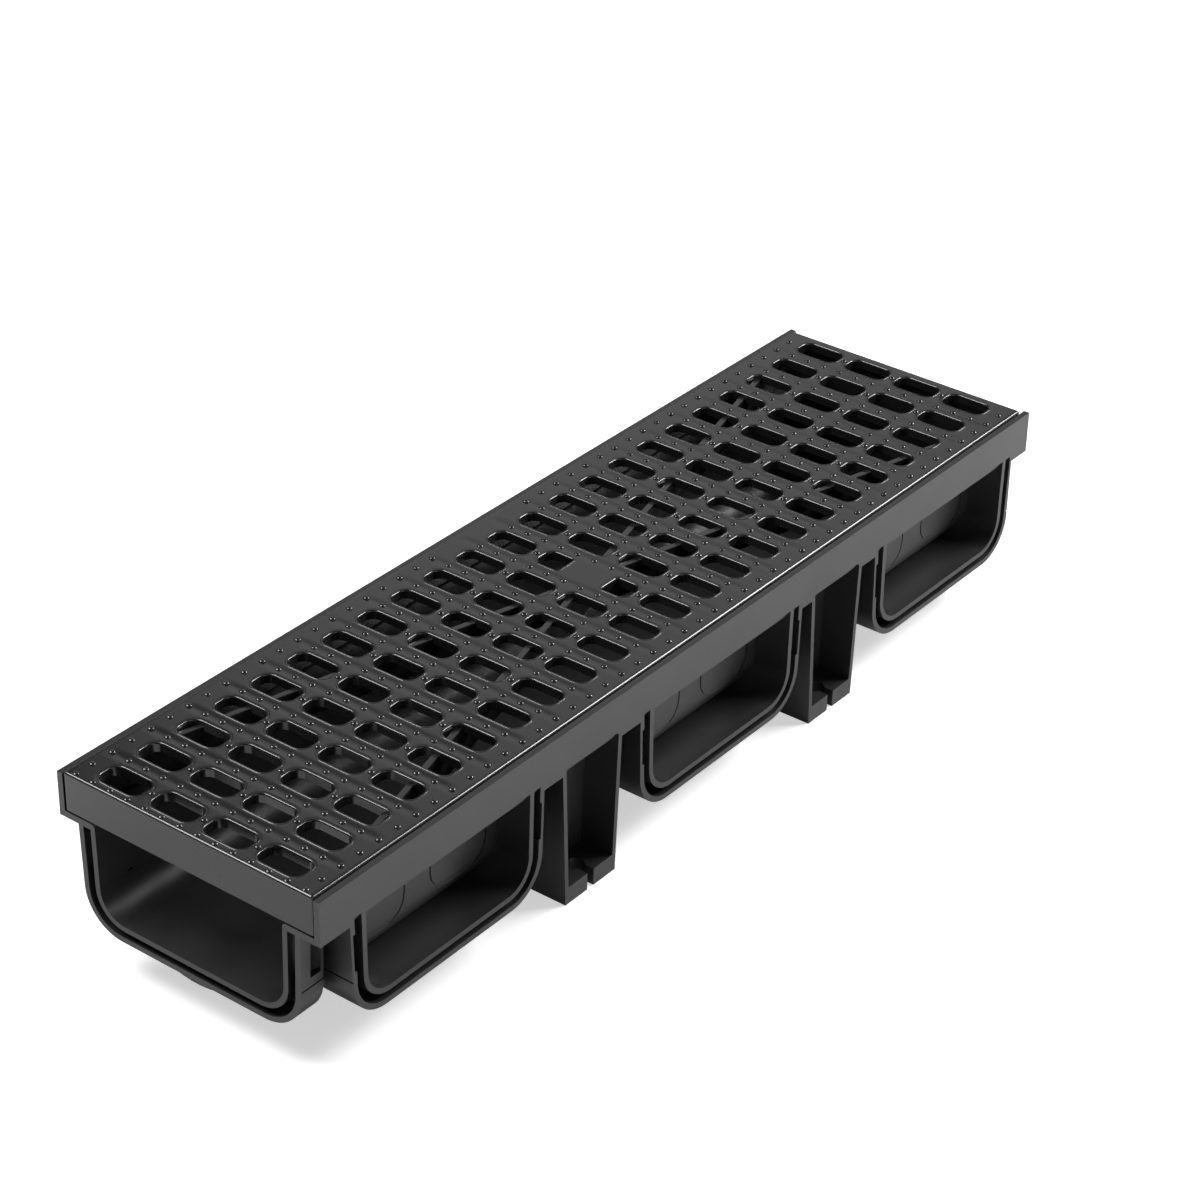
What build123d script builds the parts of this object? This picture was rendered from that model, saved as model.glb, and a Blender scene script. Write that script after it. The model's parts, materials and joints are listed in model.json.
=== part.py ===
from build123d import *
import os
from math import atan2, cos, degrees, radians, sin

# A half-metre drainage channel in moulded plastic, with the slotted grate that drops into it.
# X runs along the channel, Y across it and Z up. The four feet stand on Z = 0.

# Overall size
length = 510.0
width = 140.0
height = 90.0

# Rails and ledges that hold the grate
rail_wall = 3.0
rail_below_grate = 2.0
rail_notch = 2.0
ledge_wall = 3.0
ledge_round = 2.0

# Joint profile: a lip, a gap and an outer shell, the same on the channel's ends and on the side ports
lip_half = 50.4
lip_lean = 0.8
lip_wall = 2.5
lip_corner = 13.0
floor_level = 26.1
socket_gap = 4.2
socket_floor_gap = 3.1
socket_lean = 1.6
socket_corner = 17.0
shell_wall = 2.6

# End collars
collar_length = 13.2
collar_web = 1.6
window_length = 5.8
window_height = 18.0
window_setback = 5.8
window_below_ledge = 5.0
bulge_width = 24.0
bulge_drop = 2.5
bulge_setback = 2.0
seam_level = 39.5
seam_size = 0.8
seam_depth = 0.5

# Wall that closes the trough's far end
end_wall = 2.5
end_wall_setback = 3.0

# Side ports
port_centres = (-178.5, 5.5, 183.2)
catch_cut = 1.2
catch_reach = 10.0
floor_catch_top = 25.0
floor_catch_bottom = 19.0
floor_catch_depth = 1.3
knockout_width = 35.8
knockout_gap = 15.2
knockout_low = 35.0
knockout_corner = 11.0
knockout_line = 0.8
knockout_depth = 1.1

# Legs
leg_centres = (-86.8, 92.8)
leg_top_width = 40.0
leg_foot_width = 34.0
leg_wall = 2.3
leg_corner = 1.2
foot_thickness = 8.5
keyhole_diameter = 8.5
keyhole_slot = 4.3
keyhole_setback = 8.5

# Grate
grate_height = 20.0
grate_end_gap = 3.0
grate_side_gap = 0.5
grate_deck = 4.5
grate_skirt = 3.0
slot_row_pitch = 22.02
slot_column_pitch = 28.4
slot_columns = 4
slot_length = 23.2
slot_width = 12.6
slot_corner = 4.6
plate_half_width = 11.8
rib_wall = 3.2
rib_below_top = 3.0
rib_above_ledge = 2.0

# Straight facets that round off a corner
slot_facets = 2
knockout_facets = 4

# Levels that follow from the sizes above
ledge_top = height - grate_height
ledge_underside = ledge_top - ledge_wall
rail_top = height - rail_below_grate
floor_underside = floor_level - lip_wall
socket_bottom = floor_underside - socket_floor_gap
shell_bottom = socket_bottom - shell_wall
window_level = ledge_underside - window_below_ledge - window_height / 2

# Half widths and reaches that follow from the sizes above
lip_back_half = lip_half + lip_wall
socket_half = lip_back_half + socket_gap
shell_half = socket_half + shell_wall
shell_half_at_seam = shell_half - socket_lean * (ledge_top - seam_level) / (ledge_top - shell_bottom)
bay_depth = width / 2 - lip_back_half
port_depth = bay_depth + lip_wall
port_floor_reach = port_depth + lip_lean + lip_corner + lip_wall
collar_start = length / 2 - collar_length


def joint_profile(half, bottom, lean, corner):
    """The filled U of one surface of the joint: it leans in from the ledge and rounds into its floor."""
    with BuildSketch() as profile:
        with BuildLine():
            Polyline(
                (-half, ledge_top),
                (lean - half, bottom),
                (half - lean, bottom),
                (half, ledge_top),
                close=True,
            )
        make_face()
        fillet(profile.vertices().group_by(Axis.Y)[0], corner)
    return profile.sketch


def leg_profile(foot_level, wall):
    """A leg's tapered outline from foot_level up, drawn in by a wall on each side."""
    taper = (leg_top_width - leg_foot_width) / 2 / ledge_top
    top_half = leg_top_width / 2 - wall
    foot_half = leg_foot_width / 2 + taper * foot_level - wall
    with BuildSketch() as profile:
        with BuildLine():
            Polyline(
                (-top_half, ledge_top),
                (-foot_half, foot_level),
                (foot_half, foot_level),
                (top_half, ledge_top),
                close=True,
            )
        make_face()
        chamfer(profile.vertices().group_by(Axis.Y)[-1], leg_corner)
    return profile.sketch


def slot_profile(half_width, low, high, corner, facets, square_top=False):
    """An upright slot between two levels, each round corner made of a few straight facets."""
    turns = [radians(90 * step / facets) for step in range(facets + 1)]
    lower_right = [
        (half_width - corner + corner * sin(turn), low + corner - corner * cos(turn)) for turn in turns
    ]
    if square_top:
        upper_right = [(half_width, high)]
    else:
        upper_right = [(x, low + high - y) for x, y in reversed(lower_right)]
    right_side = lower_right + upper_right
    left_side = [(-x, y) for x, y in reversed(right_side)]
    with BuildSketch() as profile:
        with BuildLine():
            Polyline(*right_side, *left_side, close=True)
        make_face()
    return profile.sketch


lip_inside = joint_profile(lip_half, floor_level, lip_lean, lip_corner)
lip_outside = joint_profile(lip_back_half, floor_underside, lip_lean, lip_corner + lip_wall)
socket_inside = joint_profile(socket_half, socket_bottom, socket_lean, socket_corner)
catch_outline = joint_profile(socket_half + catch_cut, socket_bottom, socket_lean, socket_corner)
shell_outside = joint_profile(shell_half, shell_bottom, socket_lean, socket_corner + shell_wall)
leg_outside = leg_profile(0, 0)
leg_pocket = leg_profile(foot_thickness, leg_wall)
knockout_outside = slot_profile(
    knockout_width / 2,
    knockout_low,
    ledge_underside,
    knockout_corner,
    knockout_facets,
    square_top=True,
)
knockout_inside = slot_profile(
    knockout_width / 2 - knockout_line,
    knockout_low + knockout_line,
    ledge_underside,
    knockout_corner - knockout_line,
    knockout_facets,
    square_top=True,
)
long_slot = slot_profile(
    slot_width / 2, -slot_length / 2, slot_length / 2, slot_corner, slot_facets
)
short_slot = slot_profile(
    slot_width / 2,
    plate_half_width,
    (slot_column_pitch + slot_length) / 2,
    slot_corner,
    slot_facets,
)

# The near side's features are drawn on its rail face and pushed inwards, so their amounts are negative
side_face = Plane.XZ.offset(width / 2)
near_end = Plane(origin=(-length / 2, 0, 0), x_dir=(0, 1, 0), z_dir=(1, 0, 0))
far_end = Plane(origin=(length / 2, 0, 0), x_dir=(0, -1, 0), z_dir=(-1, 0, 0))
port_places = [(x, 0) for x in port_centres]
leg_places = [(x, 0) for x in leg_centres]
knockout_places = [
    (x + hand * (knockout_width + knockout_gap) / 2, 0) for x in port_centres for hand in (-1, 1)
]

with BuildPart() as channel_body:
    # Port boxes: an outer shell round an inner lip, whose floor runs in to the trough's floor
    with BuildSketch(side_face):
        with Locations(*port_places):
            add(shell_outside)
    extrude(amount=-port_depth)
    with BuildSketch(side_face):
        with Locations(*port_places):
            add(lip_outside)
    extrude(amount=-port_floor_reach)
    with BuildSketch(side_face):
        with Locations(*port_places):
            add(socket_inside)
            add(lip_outside, mode=Mode.SUBTRACT)
    extrude(amount=-bay_depth, mode=Mode.SUBTRACT)
    with BuildSketch(side_face):
        with Locations(*port_places):
            add(lip_inside)
    extrude(amount=-port_floor_reach, mode=Mode.SUBTRACT)

    # Nothing of the ports reaches into the collars' ends of the channel
    for hand in (-1, 1):
        with Locations((hand * (collar_start + length / 2), 0, height / 2)):
            Box(length, width, height, mode=Mode.SUBTRACT)

    # Legs: tapered boxes, open to the outside
    with BuildSketch(side_face):
        with Locations(*leg_places):
            add(leg_outside)
    extrude(amount=-port_depth)
    with BuildSketch(side_face):
        with Locations(*leg_places):
            add(leg_pocket)
    extrude(amount=-bay_depth, mode=Mode.SUBTRACT)

    # Collars round the trough's ends, with the gap that takes the next channel
    with BuildSketch(near_end, far_end):
        add(shell_outside)
    extrude(amount=collar_length)
    with BuildSketch(near_end, far_end):
        add(socket_inside)
        add(lip_outside, mode=Mode.SUBTRACT)
    extrude(amount=collar_length - collar_web, mode=Mode.SUBTRACT)

    # A shallow lens swells down under each collar
    with BuildSketch(near_end.offset(bulge_setback), far_end.offset(bulge_setback)):
        with BuildLine():
            ThreePointArc(
                (-bulge_width / 2, shell_bottom),
                (0, shell_bottom - bulge_drop),
                (bulge_width / 2, shell_bottom),
            )
            Polyline(
                (bulge_width / 2, shell_bottom),
                (bulge_width / 2, shell_bottom + shell_wall / 2),
                (-bulge_width / 2, shell_bottom + shell_wall / 2),
                (-bulge_width / 2, shell_bottom),
            )
        make_face()
    extrude(amount=collar_length - bulge_setback)

    # The trough with its ledges and rails, one section from end to end
    with BuildSketch(near_end):
        add(lip_outside)
        with Locations((0, (ledge_top + ledge_underside) / 2)):
            Rectangle(width, ledge_wall)
        with Locations((0, (rail_top + ledge_underside) / 2)):
            with GridLocations(width - rail_wall, 0, 2, 1):
                Rectangle(rail_wall, rail_top - ledge_underside)
    extrude(amount=length)
    with BuildSketch(near_end):
        add(lip_inside)
    extrude(amount=length, mode=Mode.SUBTRACT)
    ledge_edges = [
        edge
        for edge in channel_body.edges().filter_by(Axis.X)
        if abs(edge.center().Z - ledge_top) < ledge_round and abs(edge.center().Y) < lip_back_half
    ]
    fillet(ledge_edges, ledge_round)

    # The far end is closed under the grate's skirt
    with BuildSketch(far_end.offset(end_wall_setback)):
        add(lip_outside)
    extrude(amount=end_wall)

    # The rail's lower edge lifts over every opening
    with BuildSketch(side_face):
        with Locations(*port_places):
            add(socket_inside)
            add(lip_outside, mode=Mode.SUBTRACT)
            add(lip_inside)
        with Locations(*leg_places):
            add(leg_pocket)
    extrude(amount=-rail_notch, mode=Mode.SUBTRACT)

    # Catches for a fitting: the ports' outer walls and floors are thinner there
    with BuildSketch(side_face):
        with Locations(*port_places):
            add(catch_outline)
            add(lip_outside, mode=Mode.SUBTRACT)
        with Locations((0, window_level)):
            Rectangle(2 * (collar_start - shell_wall), window_height, mode=Mode.INTERSECT)
    extrude(amount=-catch_reach, mode=Mode.SUBTRACT)
    with BuildSketch(side_face):
        with Locations(*[(x, socket_bottom) for x in port_centres]):
            with BuildLine():
                Polyline(
                    (-floor_catch_top / 2, 0),
                    (-floor_catch_bottom / 2, -floor_catch_depth),
                    (floor_catch_bottom / 2, -floor_catch_depth),
                    (floor_catch_top / 2, 0),
                    close=True,
                )
            make_face()
    extrude(amount=-catch_reach, mode=Mode.SUBTRACT)

    # Knock-out outlines scored into the trough's wall inside each port
    with BuildSketch(Plane.XZ.offset(lip_back_half + knockout_depth)):
        with Locations(*knockout_places):
            add(knockout_outside)
            add(knockout_inside, mode=Mode.SUBTRACT)
    extrude(amount=-2 * knockout_depth, mode=Mode.SUBTRACT)

    # Snap windows through the collars' side walls
    with BuildSketch(side_face):
        with Locations((0, window_level)):
            with GridLocations(length - 2 * window_setback - window_length, 0, 2, 1):
                Rectangle(window_length, window_height)
    extrude(amount=-(bay_depth - socket_gap / 2), mode=Mode.SUBTRACT)

    # Seam lines along the collars' side walls and across the first port's end wall
    with BuildSketch(side_face):
        with Locations((0, seam_level)):
            with GridLocations(length - 2 * seam_size - collar_length, 0, 2, 1):
                Rectangle(collar_length, seam_size)
    extrude(amount=-(width / 2 - shell_half_at_seam + seam_depth), mode=Mode.SUBTRACT)
    with BuildSketch(Plane.YZ.offset(port_centres[0] - shell_half_at_seam + seam_depth)):
        with Locations((-(width + shell_half) / 4, seam_level)):
            Rectangle((width - shell_half) / 2, seam_size)
    extrude(amount=-shell_wall, mode=Mode.SUBTRACT)

    # Keyholes for ground pins, open to the foot's front edge
    with BuildSketch(Plane.XY):
        with Locations(*[(x, keyhole_setback - width / 2) for x in leg_centres]):
            Circle(keyhole_diameter / 2)
            Rectangle(keyhole_slot, keyhole_setback, align=(Align.CENTER, Align.MAX))
    extrude(amount=foot_thickness, mode=Mode.SUBTRACT)

    # The far side mirrors the near side
    split(bisect_by=Plane.XZ, keep=Keep.TOP)
    mirror(about=Plane.XZ)

# The grate lies flush with the channel's near end and stops short of its far end
grate_length = length - grate_end_gap
grate_width = width - 2 * rail_wall - 2 * grate_side_gap
grate_seat = Plane(origin=(-grate_end_gap / 2, 0, ledge_top))
rib_run = grate_length - grate_skirt
rib_spread = grate_width - grate_skirt
rib_angle = degrees(atan2(rib_spread, rib_run))
rows_each_side = int((grate_length / 2 - grate_skirt - slot_width / 2) / slot_row_pitch)

with BuildPart() as grate:
    # An upturned tray: a deck with a skirt all round, standing on the ledges between the rails
    with BuildSketch(grate_seat):
        Rectangle(grate_length, grate_width)
    extrude(amount=grate_height)
    with BuildSketch(grate_seat):
        Rectangle(grate_length - 2 * grate_skirt, grate_width - 2 * grate_skirt)
    extrude(amount=grate_height - grate_deck, mode=Mode.SUBTRACT)

    # Slots in rows, with two short ones beside the bare plate in the middle
    slot_places = [
        (slot_row_pitch * row, slot_column_pitch * (column - (slot_columns - 1) / 2))
        for row in range(-rows_each_side, rows_each_side + 1)
        for column in range(slot_columns)
    ]
    with BuildSketch(grate_seat.offset(grate_height)):
        with Locations(*[(x, y) for x, y in slot_places if x != 0 or abs(y) > slot_column_pitch]):
            add(long_slot)
        add(short_slot)
        add(short_slot, rotation=180)
    extrude(amount=-grate_deck, mode=Mode.SUBTRACT)

    # Two ribs cross corner to corner under the deck and run into the skirt
    with BuildSketch(grate_seat.offset(rib_above_ledge)):
        Rectangle(2 * rib_run, rib_wall, rotation=rib_angle)
        Rectangle(2 * rib_run, rib_wall, rotation=-rib_angle)
        Rectangle(rib_run, rib_spread, mode=Mode.INTERSECT)
    extrude(amount=grate_height - rib_above_ledge - rib_below_top)

os.makedirs("parts", exist_ok=True)
channel_body.part.label = "channel_body"
export_step(channel_body.part, "parts/channel_body.step")
grate.part.label = "grate"
export_step(grate.part, "parts/grate.step")
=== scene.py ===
import json
import math

import bmesh
import bpy
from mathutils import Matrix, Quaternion, Vector

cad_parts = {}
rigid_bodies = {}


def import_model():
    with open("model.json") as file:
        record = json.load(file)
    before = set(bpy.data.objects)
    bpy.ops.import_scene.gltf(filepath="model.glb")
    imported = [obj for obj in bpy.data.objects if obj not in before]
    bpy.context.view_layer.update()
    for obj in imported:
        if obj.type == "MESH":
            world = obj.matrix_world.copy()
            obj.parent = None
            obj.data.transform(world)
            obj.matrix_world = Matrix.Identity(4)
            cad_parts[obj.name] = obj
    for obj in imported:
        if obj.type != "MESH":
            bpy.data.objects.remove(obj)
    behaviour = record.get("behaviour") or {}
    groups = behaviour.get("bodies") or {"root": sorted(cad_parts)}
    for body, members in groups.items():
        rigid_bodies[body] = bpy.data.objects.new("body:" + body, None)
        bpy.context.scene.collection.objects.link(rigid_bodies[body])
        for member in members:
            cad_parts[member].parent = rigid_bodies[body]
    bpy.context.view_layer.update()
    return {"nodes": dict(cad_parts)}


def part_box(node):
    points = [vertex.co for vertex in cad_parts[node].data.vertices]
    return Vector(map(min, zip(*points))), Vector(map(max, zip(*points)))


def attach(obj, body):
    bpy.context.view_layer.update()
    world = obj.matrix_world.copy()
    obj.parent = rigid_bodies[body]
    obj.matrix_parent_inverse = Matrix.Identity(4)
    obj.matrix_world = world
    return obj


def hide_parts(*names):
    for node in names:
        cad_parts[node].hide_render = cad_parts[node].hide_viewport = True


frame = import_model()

mm = 0.001
print("frame loaded:", sorted(frame["nodes"]))

cameraValues = {
    "place": (-984.0 * mm, -752.4 * mm, 827.5 * mm),
    "lookAt": (42.4 * mm, 26.0 * mm, 45.0 * mm),
    "lens": 98.4,
    "rollDegrees": 1.2,
}


def makeCamera(values):
    bpy.ops.object.camera_add(location=values["place"])
    camera = bpy.context.object
    camera.data.lens = values["lens"]
    sight = Vector(values["lookAt"]) - Vector(values["place"])
    roll = Quaternion((0, 0, 1), math.radians(values["rollDegrees"]))
    camera.rotation_mode = "QUATERNION"
    camera.rotation_quaternion = sight.to_track_quat("-Z", "Y") @ roll
    bpy.context.scene.camera = camera


makeCamera(cameraValues)
print("camera placed")


def deselectAll():
    if bpy.context.object and bpy.context.object.mode != "OBJECT":
        bpy.ops.object.mode_set(mode="OBJECT")
    bpy.ops.object.select_all(action="DESELECT")


def makeActive(piece):
    deselectAll()
    piece.select_set(True)
    bpy.context.view_layer.objects.active = piece


def startEdit(piece):
    makeActive(piece)
    bpy.ops.object.mode_set(mode="EDIT")
    bpy.ops.mesh.select_all(action="DESELECT")


def endEdit():
    bpy.ops.object.mode_set(mode="OBJECT")


def pickVertices(test):
    bpy.ops.mesh.select_mode(type="VERT")
    mesh = bmesh.from_edit_mesh(bpy.context.object.data)
    for vertex in mesh.verts:
        vertex.select = test(vertex)
    mesh.select_flush(True)
    bmesh.update_edit_mesh(bpy.context.object.data)


def pickEdges(test):
    bpy.ops.mesh.select_mode(type="EDGE")
    mesh = bmesh.from_edit_mesh(bpy.context.object.data)
    for edge in mesh.edges:
        edge.select_set(False)
    for edge in mesh.edges:
        if test(edge):
            edge.select_set(True)
    bmesh.update_edit_mesh(bpy.context.object.data)


def pickFaces(test):
    bpy.ops.mesh.select_mode(type="FACE")
    mesh = bmesh.from_edit_mesh(bpy.context.object.data)
    for face in mesh.faces:
        face.select_set(False)
    for face in mesh.faces:
        if test(face):
            face.select_set(True)
    bmesh.update_edit_mesh(bpy.context.object.data)


def near(value, target, reach=0.02 * mm):
    return abs(value - target) < reach


def copyTo(piece, offset, turnDegrees=0):
    twin = piece.copy()
    twin.data = piece.data.copy()
    bpy.context.scene.collection.objects.link(twin)
    twin.rotation_euler = (0, 0, math.radians(turnDegrees))
    twin.location = offset
    return twin


def joinAll(pieces, name):
    makeActive(pieces[0])
    for piece in pieces:
        piece.select_set(True)
    bpy.ops.object.transform_apply(location=True, rotation=True, scale=True)
    bpy.ops.object.join()
    joined = bpy.context.object
    joined.name = name
    joined.data.name = name
    return joined


# Plastic

plasticValues = {
    "grainSize": 0.35 * mm,  # fine moulded grain
    "grainDepth": 0.02 * mm,
    "grainStrength": 0.15,
    "flowSize": 45 * mm,  # slow changes of gloss where the plastic flowed
    "flowLow": 0.3,
    "flowHigh": 0.7,
}

channelPlasticValues = {
    "dark": (0.008, 0.0083, 0.0086),
    "light": (0.0105, 0.0108, 0.0112),
    "smooth": 0.4,
    "rough": 0.46,
    "specular": 0.9,
}

gratePlasticValues = {
    "dark": (0.008, 0.008, 0.0083),
    "light": (0.0105, 0.0105, 0.0108),
    "smooth": 0.22,
    "rough": 0.28,
    "specular": 0.85,
}


def addSocket(group, name, way, kind, value=None):
    socket = group.interface.new_socket(name=name, in_out=way, socket_type=kind)
    if value is not None:
        socket.default_value = value


def mouldedSurface():
    group = bpy.data.node_groups.new("mouldedSurface", "ShaderNodeTree")
    addSocket(group, "Dark Color", "INPUT", "NodeSocketColor")
    addSocket(group, "Light Color", "INPUT", "NodeSocketColor")
    addSocket(group, "Smooth", "INPUT", "NodeSocketFloat", 0.35)
    addSocket(group, "Rough", "INPUT", "NodeSocketFloat", 0.45)
    addSocket(group, "Color", "OUTPUT", "NodeSocketColor")
    addSocket(group, "Roughness", "OUTPUT", "NodeSocketFloat")
    addSocket(group, "Height", "OUTPUT", "NodeSocketFloat")
    nodes = group.nodes
    links = group.links
    inputs = nodes.new("NodeGroupInput")
    outputs = nodes.new("NodeGroupOutput")
    place = nodes.new("ShaderNodeTexCoord")
    flow = nodes.new("ShaderNodeTexNoise")
    flow.inputs["Scale"].default_value = 1 / plasticValues["flowSize"]
    flow.inputs["Detail"].default_value = 3
    grain = nodes.new("ShaderNodeTexNoise")
    grain.inputs["Scale"].default_value = 1 / plasticValues["grainSize"]
    grain.inputs["Detail"].default_value = 2
    links.new(place.outputs["Object"], flow.inputs["Vector"])
    links.new(place.outputs["Object"], grain.inputs["Vector"])
    tint = nodes.new("ShaderNodeMix")
    tint.data_type = "RGBA"
    links.new(flow.outputs["Fac"], tint.inputs["Factor"])
    links.new(inputs.outputs["Dark Color"], tint.inputs["A"])
    links.new(inputs.outputs["Light Color"], tint.inputs["B"])
    links.new(tint.outputs["Result"], outputs.inputs["Color"])
    gloss = nodes.new("ShaderNodeMapRange")
    gloss.inputs["From Min"].default_value = plasticValues["flowLow"]
    gloss.inputs["From Max"].default_value = plasticValues["flowHigh"]
    links.new(flow.outputs["Fac"], gloss.inputs["Value"])
    links.new(inputs.outputs["Smooth"], gloss.inputs["To Min"])
    links.new(inputs.outputs["Rough"], gloss.inputs["To Max"])
    links.new(gloss.outputs["Result"], outputs.inputs["Roughness"])
    links.new(grain.outputs["Fac"], outputs.inputs["Height"])
    return group


surfaceGroup = mouldedSurface()


def plastic(name, values):
    material = bpy.data.materials.new(name)
    material.use_nodes = True
    nodes = material.node_tree.nodes
    links = material.node_tree.links
    shader = nodes["Principled BSDF"]
    shader.inputs["Specular IOR Level"].default_value = values["specular"]
    surface = nodes.new("ShaderNodeGroup")
    surface.node_tree = surfaceGroup
    surface.inputs["Dark Color"].default_value = (*values["dark"], 1)
    surface.inputs["Light Color"].default_value = (*values["light"], 1)
    surface.inputs["Smooth"].default_value = values["smooth"]
    surface.inputs["Rough"].default_value = values["rough"]
    bump = nodes.new("ShaderNodeBump")
    bump.inputs["Strength"].default_value = plasticValues["grainStrength"]
    bump.inputs["Distance"].default_value = plasticValues["grainDepth"]
    links.new(surface.outputs["Color"], shader.inputs["Base Color"])
    links.new(surface.outputs["Roughness"], shader.inputs["Roughness"])
    links.new(surface.outputs["Height"], bump.inputs["Height"])
    links.new(bump.outputs["Normal"], shader.inputs["Normal"])
    return material


channelPlastic = plastic("channelPlastic", channelPlasticValues)
gratePlastic = plastic("gratePlastic", gratePlasticValues)
print("plastics mixed")


def dress(piece, material, node, smoothDegrees):
    piece.data.materials.clear()
    piece.data.materials.append(material)
    makeActive(piece)
    bpy.ops.object.shade_smooth_by_angle(angle=math.radians(smoothDegrees))
    flatter = piece.modifiers.new("flatFaces", "WEIGHTED_NORMAL")
    flatter.keep_sharp = True
    bpy.ops.object.modifier_apply(modifier=flatter.name)
    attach(piece, "root")
    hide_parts(node)


# Channel body: the moulding's own faces, with its sharp edges broken as the mould leaves them

bodyValues = {
    "mergeReach": 0.005 * mm,
    "flatDegrees": 0.6,  # triangles that lie in one plane become one face
    "edgeDegrees": 32,  # edges sharper than this are broken
    "edgeRound": 0.25 * mm,
    "edgeSegments": 2,
    "smoothDegrees": 32,
    "shellBottom": 17.9 * mm,
    "catchHalf": 12.1 * mm,  # the catch under each end's shell, as built
    "catchFrom": 241.0 * mm,
    "catchWider": 1.4,
    "catchDeeper": 1.3,
}


def makeBody(values):
    source = frame["nodes"]["channel_body"]
    body = source.copy()
    body.data = source.data.copy()
    body.parent = None
    for key in [key for key in body.keys() if key.startswith("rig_")]:
        del body[key]
    bpy.context.scene.collection.objects.link(body)
    body.name = "channelBody"
    startEdit(body)
    bpy.ops.mesh.select_all(action="SELECT")
    bpy.ops.mesh.remove_doubles(threshold=values["mergeReach"])
    bpy.ops.mesh.dissolve_limited(angle_limit=math.radians(values["flatDegrees"]))
    pickVertices(
        lambda vertex: vertex.co.z < values["shellBottom"] + 0.05 * mm
        and abs(vertex.co.y) < values["catchHalf"]
        and abs(vertex.co.x) > values["catchFrom"]
    )
    larger = (1, values["catchWider"], values["catchDeeper"])
    bpy.ops.transform.resize(value=larger, center_override=(0, 0, values["shellBottom"]))
    endEdit()
    edges = body.modifiers.new("brokenEdges", "BEVEL")
    edges.limit_method = "ANGLE"
    edges.angle_limit = math.radians(values["edgeDegrees"])
    edges.width = values["edgeRound"]
    edges.segments = values["edgeSegments"]
    edges.use_clamp_overlap = True
    bpy.ops.object.modifier_apply(modifier=edges.name)
    return body


channelBody = makeBody(bodyValues)
dress(channelBody, channelPlastic, "channel_body", bodyValues["smoothDegrees"])
print("channel body:", len(channelBody.data.polygons), "faces")


# Grate: one slot's cell is modelled once and copied along and across, then edged with a skirt

grateLow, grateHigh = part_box("grate")
grateValues = {
    "rowsEachSide": 11,
    "rowPitch": 22.02 * mm,
    "columnPitch": 28.4 * mm,
    "columns": 4,
    "slotWidth": 12.0 * mm,
    "slotLength": 22.2 * mm,
    "shortSlotLow": 12.2 * mm,
    "slotCorner": 4.3 * mm,
    "tightCorner": 1.4 * mm,
    "cornerSteps": 8,
    "rimFoot": 1.75 * mm,
    "rimSteps": (  # the rolled rim, from its outer foot to the slot's wall: how far in, how far up
        (0.5 * mm, -0.08 * mm),
        (0.12 * mm, 0.09 * mm),
        (0.2 * mm, 0.03 * mm),
        (0.37 * mm, -0.03 * mm),
        (0.27 * mm, -0.16 * mm),
        (0.19 * mm, -0.28 * mm),
        (0.08 * mm, -0.36 * mm),
    ),
    "rimClear": 0.5 * mm,  # from the rim's foot to the first line of the deck's faces
    "cellDivisions": (16, 14),  # faces of one slot's cell, along and across the grate
    "deckDrop": 0.85 * mm,  # the studs' tops stand this high over the deck
    "deckThick": 4.3 * mm,
    "hollowDepth": 0.3 * mm,
    "hollowStart": 7.9 * mm,
    "hollowFadeFrom": 58 * mm,
    "hollowFadeTo": 64.5 * mm,
    "skirt": 3.0 * mm,
    "sideStrips": 4,  # rows of faces from the outer slots to the long sides
    "edgeRound": 1.2 * mm,
    "edgeSegments": 4,
    "endLift": 0.9 * mm,  # gap under the end skirts
    "smoothDegrees": 40,
}


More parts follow.
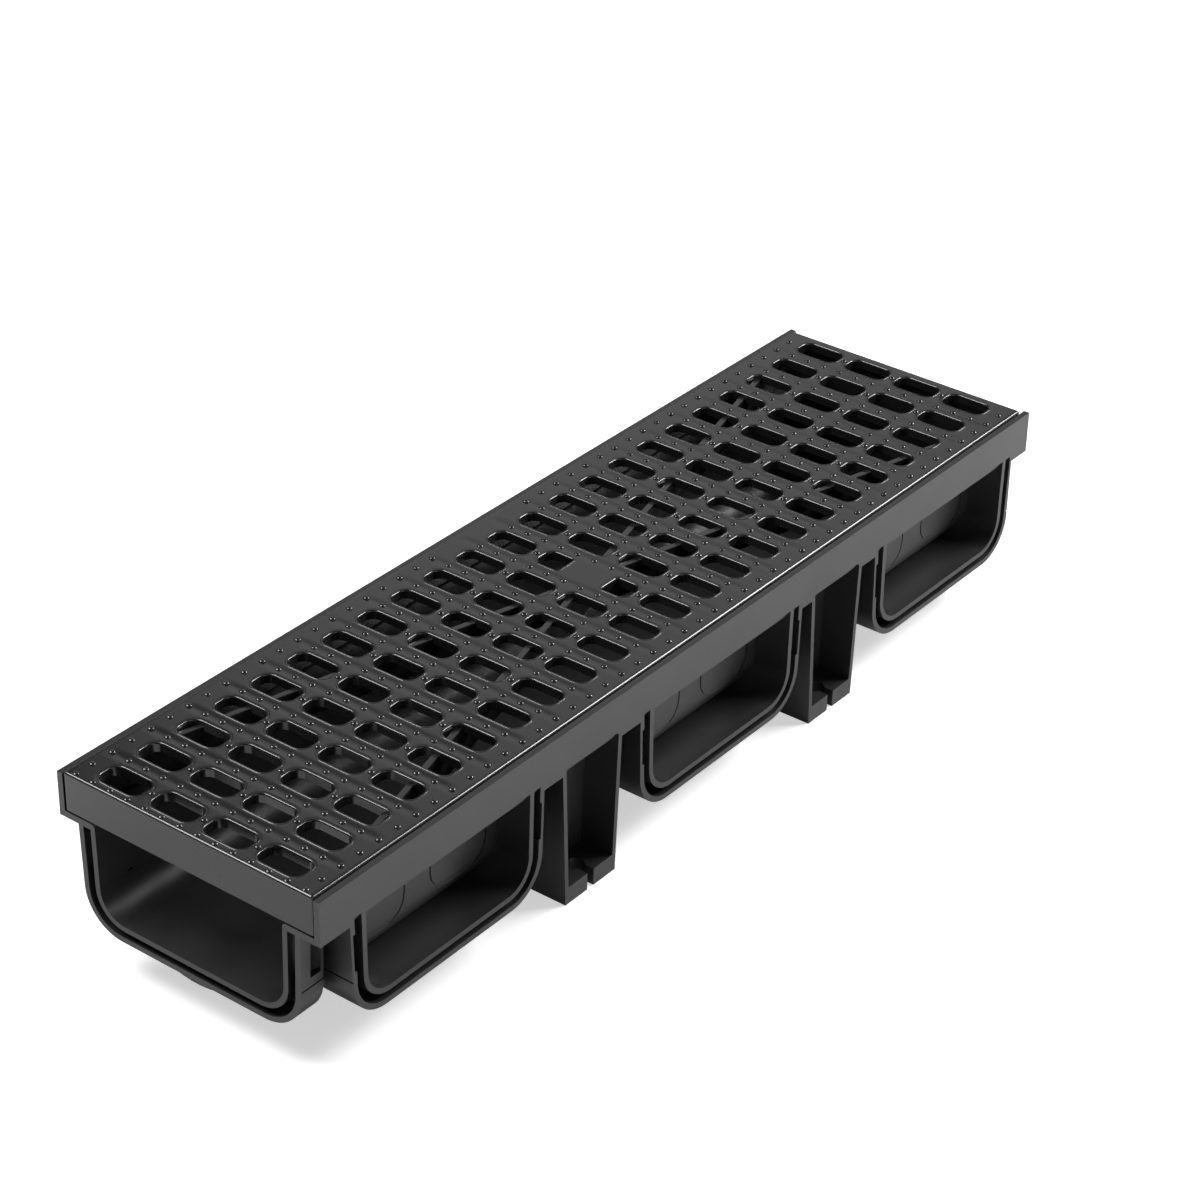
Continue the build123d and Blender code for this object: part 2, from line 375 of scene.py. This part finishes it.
def makeCell(name, slotLow, slotHigh, lowCorner, values):
    pitchX = values["rowPitch"]
    pitchY = values["columnPitch"]
    divisionsX, divisionsY = values["cellDivisions"]
    foot = values["rimFoot"]
    slotMiddle = (slotLow + slotHigh) / 2
    footWide = values["slotWidth"] + 2 * foot
    footLong = slotHigh - slotLow + 2 * foot
    stepX = pitchX / divisionsX
    stepY = pitchY / divisionsY
    holeX = pitchX / 2 - 2 * stepX
    holeY = pitchY / 2 - stepY
    wantedHigh = slotHigh + foot + values["rimClear"]
    wantedLow = slotLow - foot - values["rimClear"]
    deselectAll()
    bpy.ops.mesh.primitive_grid_add(x_subdivisions=divisionsX, y_subdivisions=divisionsY, size=1)
    cell = bpy.context.object
    cell.name = name
    cell.scale = (pitchX, pitchY, 1)
    bpy.ops.object.transform_apply(scale=True)
    startEdit(cell)
    pickFaces(
        lambda face: abs(face.calc_center_median().x) < holeX and abs(face.calc_center_median().y) < holeY
    )
    bpy.ops.mesh.delete(type="FACE")

    # The hole's edge is stretched to lie just outside the rim
    def inHoleEdge(vertex):
        onLoop = vertex.is_boundary and abs(vertex.co.x) < holeX + 0.1 * mm
        return onLoop and abs(vertex.co.y) < holeY + 0.1 * mm

    pickVertices(inHoleEdge)
    stretch = (wantedHigh - wantedLow) / (2 * holeY)
    bpy.ops.transform.resize(value=(1, stretch, 1), center_override=(0, 0, 0))
    bpy.ops.transform.translate(value=(0, (wantedHigh + wantedLow) / 2, 0))

    # The rim starts as a plane, gets its round corners and is inset step by step
    bpy.ops.mesh.select_all(action="DESELECT")
    bpy.ops.mesh.primitive_plane_add(size=1, location=(0, 0, 0))
    bpy.ops.transform.resize(value=(footWide, footLong, 1), center_override=(0, 0, 0))
    bpy.ops.transform.translate(value=(0, slotMiddle, 0))
    footHigh = slotMiddle + footLong / 2
    footLow = slotMiddle - footLong / 2
    for level, corner in ((footHigh, values["slotCorner"]), (footLow, lowCorner)):
        pickVertices(lambda vertex: near(abs(vertex.co.x), footWide / 2) and near(vertex.co.y, level))
        bpy.ops.mesh.bevel(offset=corner + foot, segments=values["cornerSteps"], affect="VERTICES")
    pickFaces(lambda face: len(face.verts) > 4)
    mesh = bmesh.from_edit_mesh(cell.data)
    rimEdges = {edge for face in mesh.faces if face.select for edge in face.edges}
    longest = sorted(rimEdges, key=lambda edge: edge.calc_length())[-4:]
    longestMiddles = [(edge.verts[0].co + edge.verts[1].co) / 2 for edge in longest]
    pickEdges(
        lambda edge: len(edge.link_faces) == 1
        and any(((edge.verts[0].co + edge.verts[1].co) / 2 - spot).length < 1e-7 for spot in longestMiddles)
    )
    bpy.ops.mesh.subdivide(number_cuts=1)
    pickFaces(lambda face: len(face.verts) > 4)
    for inward, upward in values["rimSteps"]:
        bpy.ops.mesh.inset(thickness=inward, depth=upward)
    wallDrop = values["deckThick"] + sum(step[1] for step in values["rimSteps"])
    bpy.ops.mesh.extrude_region_move(TRANSFORM_OT_translate={"value": (0, 0, -wallDrop)})
    bpy.ops.mesh.delete(type="ONLY_FACE")

    # The rim's foot joins the deck
    pickEdges(
        lambda edge: len(edge.link_faces) < 2
        and all(
            near(vertex.co.z, 0)
            and not near(abs(vertex.co.x), pitchX / 2)
            and not near(abs(vertex.co.y), pitchY / 2)
            for vertex in edge.verts
        )
    )
    bpy.ops.mesh.bridge_edge_loops()
    endEdit()
    return cell


def makeDeck(values):
    half = values["slotLength"] / 2
    longCell = makeCell("longCell", -half, half, values["slotCorner"], values)
    columnMiddle = values["columnPitch"] / 2
    shortLow = values["shortSlotLow"] - columnMiddle
    shortCell = makeCell("shortCell", shortLow, half, values["tightCorner"], values)
    middleX = (grateLow.x + grateHigh.x) / 2
    deckLevel = grateHigh.z - values["deckDrop"]
    cells = []
    for row in range(-values["rowsEachSide"], values["rowsEachSide"] + 1):
        for column in range(values["columns"]):
            across = column - (values["columns"] - 1) / 2
            spot = (middleX + row * values["rowPitch"], across * values["columnPitch"], deckLevel)
            if row == 0 and abs(across) < 1:
                cells.append(copyTo(shortCell, spot, 0 if across > 0 else 180))
            else:
                cells.append(copyTo(longCell, spot))
    bpy.data.objects.remove(longCell)
    bpy.data.objects.remove(shortCell)
    deck = joinAll(cells, "grate")
    startEdit(deck)
    bpy.ops.mesh.select_all(action="SELECT")
    bpy.ops.mesh.remove_doubles(threshold=0.01 * mm)
    endEdit()
    return deck, middleX, deckLevel


def fillAt(level, isHole):
    # Fill also closes the holes, so the faces over them are deleted
    pickEdges(
        lambda edge: len(edge.link_faces) < 2 and all(near(vertex.co.z, level) for vertex in edge.verts)
    )
    bpy.ops.mesh.fill(use_beauty=True)
    pickFaces(isHole)
    bpy.ops.mesh.delete(type="ONLY_FACE")


def addSkirt(deck, middleX, deckLevel, values):
    cellEnd = (values["rowsEachSide"] + 0.5) * values["rowPitch"]
    cellSide = values["columns"] / 2 * values["columnPitch"]
    underLevel = deckLevel - values["deckThick"]
    stripWidth = (grateHigh.y - cellSide) / values["sideStrips"]
    startEdit(deck)
    for sign in (-1, 1):
        # The deck's end rows reach the grate's ends
        endX = grateLow.x if sign < 0 else grateHigh.x
        cellX = middleX + sign * cellEnd
        pickVertices(lambda vertex: near(vertex.co.x, cellX))
        bpy.ops.transform.translate(value=(endX - cellX, 0, 0))
    for sign in (-1, 1):
        sideY = sign * cellSide
        pickEdges(lambda edge: edge.is_boundary and all(near(vertex.co.y, sideY) for vertex in edge.verts))
        for strip in range(values["sideStrips"]):
            bpy.ops.mesh.extrude_region_move(TRANSFORM_OT_translate={"value": (0, sign * stripWidth, 0)})
    pickEdges(
        lambda edge: edge.is_boundary and all(near(vertex.co.z, deckLevel) for vertex in edge.verts)
    )
    bpy.ops.mesh.extrude_region_move(TRANSFORM_OT_translate={"value": (0, 0, grateLow.z - deckLevel)})

    # A frame at the skirt's inner face closes the underside round the slots, and drops to the ledge
    bpy.ops.mesh.select_all(action="DESELECT")
    bpy.ops.mesh.primitive_plane_add(size=1, location=(0, 0, 0))
    insideLong = grateHigh.x - grateLow.x - 2 * values["skirt"]
    insideWide = grateHigh.y - grateLow.y - 2 * values["skirt"]
    bpy.ops.transform.resize(value=(insideLong, insideWide, 1), center_override=(0, 0, 0))
    bpy.ops.transform.translate(value=(middleX, 0, underLevel))
    bpy.ops.mesh.select_mode(type="FACE")
    bpy.ops.mesh.delete(type="ONLY_FACE")
    halfLong = insideLong / 2 - 0.01 * mm
    halfWide = insideWide / 2 - 0.01 * mm

    def overSlot(face):
        slots = {
            (
                round((vertex.co.x - middleX) / values["rowPitch"]),
                round(vertex.co.y / values["columnPitch"] - 0.5),
            )
            for vertex in face.verts
        }
        onWalls = all(
            abs(vertex.co.x - middleX) < halfLong and abs(vertex.co.y) < halfWide for vertex in face.verts
        )
        return onWalls and len(slots) == 1 and near(face.calc_center_median().z, underLevel)

    def insideSkirt(face):
        middle = face.calc_center_median()
        inFrame = abs(middle.x - middleX) < halfLong and abs(middle.y) < halfWide
        return inFrame and near(middle.z, grateLow.z)

    fillAt(underLevel, overSlot)
    pickEdges(
        lambda edge: edge.is_boundary and all(near(vertex.co.z, underLevel) for vertex in edge.verts)
    )
    bpy.ops.mesh.extrude_region_move(TRANSFORM_OT_translate={"value": (0, 0, grateLow.z - underLevel)})
    fillAt(grateLow.z, insideSkirt)

    # The outer edges are rounded, and the upright corners with them
    def onRim(edge):
        level = all(near(vertex.co.z, deckLevel) for vertex in edge.verts)
        onEnd = any(all(near(vertex.co.x, x) for vertex in edge.verts) for x in (grateLow.x, grateHigh.x))
        onSide = any(all(near(vertex.co.y, y) for vertex in edge.verts) for y in (grateLow.y, grateHigh.y))
        return (level and (onEnd or onSide)) or (onEnd and onSide)

    pickEdges(onRim)
    bpy.ops.mesh.bevel(offset=values["edgeRound"], segments=values["edgeSegments"], affect="EDGES")

    # The end skirts stay clear of the ledges
    endFrom = (grateHigh.x - grateLow.x) / 2 - values["skirt"] - 0.1 * mm
    pickVertices(lambda vertex: near(vertex.co.z, grateLow.z) and abs(vertex.co.x - middleX) > endFrom)
    bpy.ops.transform.translate(value=(0, 0, values["endLift"]))
    bpy.ops.mesh.select_all(action="SELECT")
    bpy.ops.mesh.normals_make_consistent(inside=False)
    endEdit()


def hollowDeck(deck, middleX, deckLevel, values):
    # The deck sags a little along each line of studs between two rows
    pitch = values["rowPitch"]
    start = values["hollowStart"]
    lastStart = values["rowsEachSide"] * pitch + start
    for vertex in deck.data.vertices:
        place = vertex.co
        if place.z < deckLevel - 0.9 * mm:
            continue
        fromMiddle = abs(place.x - middleX)
        if fromMiddle > lastStart or abs(place.y) > values["hollowFadeTo"]:
            continue
        fromRow = abs((place.x - middleX + pitch / 2) % pitch - pitch / 2)
        if fromRow <= start:
            continue
        depth = math.sin(math.pi / 2 * (fromRow - start) / (pitch / 2 - start)) ** 2
        fadeSpan = values["hollowFadeTo"] - values["hollowFadeFrom"]
        fade = min(1, (values["hollowFadeTo"] - abs(place.y)) / fadeSpan)
        fade = fade * fade * (3 - 2 * fade)
        place.z -= values["hollowDepth"] * depth * fade


studValues = {
    "radius": 1.55 * mm,
    "segments": 12,
    "rings": 8,
    "sunk": 0.1 * mm,
    "pitch": 9.44 * mm,
    "eachSide": 6,
    "edgeLine": 61.2 * mm,
    "endLine": 9.0 * mm,  # from the first row of slots to the studs beside it
    "bareFrom": -24 * mm,  # a stretch of the far edge has no studs
    "bareTo": 21 * mm,
}


def studPlaces(middleX, values):
    pitch = values["rowPitch"]
    rows = values["rowsEachSide"]
    edge = studValues["edgeLine"]
    steps = [step + 0.5 for step in range(studValues["eachSide"])]
    across = [side * studValues["pitch"] * step for side in (-1, 1) for step in steps]
    between = [(middleX + (row + 0.5) * pitch, True) for row in range(-rows, rows)]
    between.append((middleX - rows * pitch - studValues["endLine"], False))
    places = []
    for x, hollow in between:
        places += [(x, y, hollow) for y in across]
        places += [(x, y, False) for y in (-edge, edge)]
    for row in range(-rows, rows + 1):
        x = middleX + row * pitch
        places += [(x, y, False) for y in (-edge, -values["columnPitch"], values["columnPitch"], edge)]
        if row != 0:
            places.append((x, 0, False))
    bareFrom = studValues["bareFrom"]
    bareTo = studValues["bareTo"]
    return [place for place in places if not (place[1] == edge and bareFrom < place[0] < bareTo)]


def makeStuds(middleX, deckLevel, values):
    deselectAll()
    bpy.ops.mesh.primitive_uv_sphere_add(
        segments=studValues["segments"], ring_count=studValues["rings"], radius=studValues["radius"]
    )
    stud = bpy.context.object
    stud.name = "stud"
    startEdit(stud)
    bpy.ops.mesh.select_all(action="SELECT")
    cutLevel = (0, 0, -studValues["sunk"])
    bpy.ops.mesh.bisect(plane_co=cutLevel, plane_no=(0, 0, 1), clear_inner=True, use_fill=True)
    endEdit()
    copies = []
    for x, y, hollow in studPlaces(middleX, values):
        low = deckLevel - (values["hollowDepth"] if hollow else 0)
        twin = copyTo(stud, (x, y, low))
        twin.scale = (1, 1, (grateHigh.z - deckLevel) / studValues["radius"])
        copies.append(twin)
    bpy.data.objects.remove(stud)
    return joinAll(copies, "studs")


ribValues = {
    "wall": 3.2 * mm,
    "belowTop": 3.0 * mm,
    "aboveLedge": 2.0 * mm,
    "edgeRound": 0.4 * mm,
}


def makeRibs(middleX, skirt, values):
    run = grateHigh.x - grateLow.x - skirt
    spread = grateHigh.y - grateLow.y - skirt
    low = grateLow.z + values["aboveLedge"]
    high = grateHigh.z - values["belowTop"]
    angle = math.atan2(spread, run)
    ribs = []
    for sign in (-1, 1):
        deselectAll()
        bpy.ops.mesh.primitive_cube_add(size=1, location=(0, 0, (low + high) / 2))
        rib = bpy.context.object
        rib.scale = (math.hypot(run, spread), values["wall"], high - low)
        bpy.ops.object.transform_apply(scale=True)
        startEdit(rib)
        pickEdges(lambda edge: all(vertex.co.z > 0 for vertex in edge.verts))
        bpy.ops.mesh.bevel(offset=values["edgeRound"], segments=2, affect="EDGES")
        endEdit()
        rib.rotation_euler = (0, 0, sign * angle)
        rib.location.x = middleX
        ribs.append(rib)
    return joinAll(ribs, "ribs")


def makeGrate(values):
    deck, middleX, deckLevel = makeDeck(values)
    addSkirt(deck, middleX, deckLevel, values)
    hollowDeck(deck, middleX, deckLevel, values)
    print("deck:", len(deck.data.polygons), "faces")
    studs = makeStuds(middleX, deckLevel, values)
    print("studs:", len(studs.data.polygons), "faces")
    ribs = makeRibs(middleX, values["skirt"], ribValues)
    return joinAll([deck, studs, ribs], "grateMoulding")


grateMoulding = makeGrate(grateValues)
dress(grateMoulding, gratePlastic, "grate", grateValues["smoothDegrees"])
print("grate:", len(grateMoulding.data.polygons), "faces")


# Floor, lamps and the white background

floorValues = {
    "size": 2.8,  # metres, as the lamps' places are
    "color": (0.8, 0.8, 0.8, 1),
    "glowSeen": 0.55,
    "glowReflected": 0.04,  # weaker, so that the plastic mirrors the shadow under the drain
}


def makeFloor(values):
    deselectAll()
    bpy.ops.mesh.primitive_plane_add(size=values["size"], location=(0, 0, 0))
    floor = bpy.context.object
    floor.name = "floor"
    material = bpy.data.materials.new("floorPaper")
    material.use_nodes = True
    nodes = material.node_tree.nodes
    links = material.node_tree.links
    shader = nodes["Principled BSDF"]
    shader.inputs["Base Color"].default_value = values["color"]
    shader.inputs["Roughness"].default_value = 0.9
    shader.inputs["Specular IOR Level"].default_value = 0.0
    shader.inputs["Emission Color"].default_value = (1, 1, 1, 1)
    path = nodes.new("ShaderNodeLightPath")
    reflected = nodes.new("ShaderNodeMath")
    reflected.operation = "MULTIPLY"
    reflected.inputs[1].default_value = values["glowReflected"]
    glow = nodes.new("ShaderNodeMath")
    glow.operation = "MULTIPLY_ADD"
    glow.inputs[1].default_value = values["glowSeen"]
    links.new(path.outputs["Is Glossy Ray"], reflected.inputs[0])
    links.new(path.outputs["Is Camera Ray"], glow.inputs[0])
    links.new(reflected.outputs["Value"], glow.inputs[2])
    links.new(glow.outputs["Value"], shader.inputs["Emission Strength"])
    floor.data.materials.append(material)


makeFloor(floorValues)

lampValues = {
    "right": {"place": (1.2, -0.7, 1.1), "size": (0.9, 0.55), "power": 33},
    "left": {"place": (-0.62, 0.78, 1.4), "size": (1.0, 0.6), "power": 24},
    "front": {"place": (-0.5, -1.6, 0.5), "size": (1.2, 0.7), "power": 3},
    "panel": {"place": (1.22, 0.94, 0.94), "size": (0.9, 0.9), "power": 1.35},
}


def makeLamps(values):
    for name, lamp in values.items():
        deselectAll()
        bpy.ops.object.light_add(type="AREA", location=lamp["place"])
        light = bpy.context.object
        light.name = name + "Lamp"
        light.data.shape = "RECTANGLE"
        light.data.size = lamp["size"][0]
        light.data.size_y = lamp["size"][1]
        light.data.energy = lamp["power"]
        light.rotation_mode = "QUATERNION"
        light.rotation_quaternion = (-Vector(lamp["place"])).to_track_quat("-Z", "Y")


makeLamps(lampValues)


worldValues = {
    "ambient": 0.1,  # what the surroundings add to the lamps
    "lowTone": 0.7,  # what the plastic mirrors: pale at the horizon, dark from highFrom up
    "highTone": 0.05,
    "highFrom": 0.16,
}


def makeWorld(values):
    world = bpy.data.worlds.new("studio")
    bpy.context.scene.world = world
    world.use_nodes = True
    nodes = world.node_tree.nodes
    links = world.node_tree.links
    background = nodes["Background"]
    background.inputs["Color"].default_value = (1, 1, 1, 1)
    place = nodes.new("ShaderNodeTexCoord")
    parts = nodes.new("ShaderNodeSeparateXYZ")
    mirrored = nodes.new("ShaderNodeMapRange")
    mirrored.inputs["From Max"].default_value = values["highFrom"]
    mirrored.inputs["To Min"].default_value = values["lowTone"]
    mirrored.inputs["To Max"].default_value = values["highTone"]
    path = nodes.new("ShaderNodeLightPath")
    glossy = nodes.new("ShaderNodeMix")
    glossy.inputs["A"].default_value = values["ambient"]
    clear = nodes.new("ShaderNodeMath")
    clear.operation = "MAXIMUM"
    strength = nodes.new("ShaderNodeMath")
    strength.operation = "MAXIMUM"
    links.new(place.outputs["Generated"], parts.inputs["Vector"])
    links.new(parts.outputs["Z"], mirrored.inputs["Value"])
    links.new(path.outputs["Is Glossy Ray"], glossy.inputs["Factor"])
    links.new(mirrored.outputs["Result"], glossy.inputs["B"])
    links.new(path.outputs["Is Camera Ray"], clear.inputs[0])
    links.new(path.outputs["Is Transmission Ray"], clear.inputs[1])
    links.new(clear.outputs["Value"], strength.inputs[0])
    links.new(glossy.outputs["Result"], strength.inputs[1])
    links.new(strength.outputs["Value"], background.inputs["Strength"])


makeWorld(worldValues)
bpy.context.scene.view_settings.view_transform = "Standard"
deselectAll()
print("studio lit")
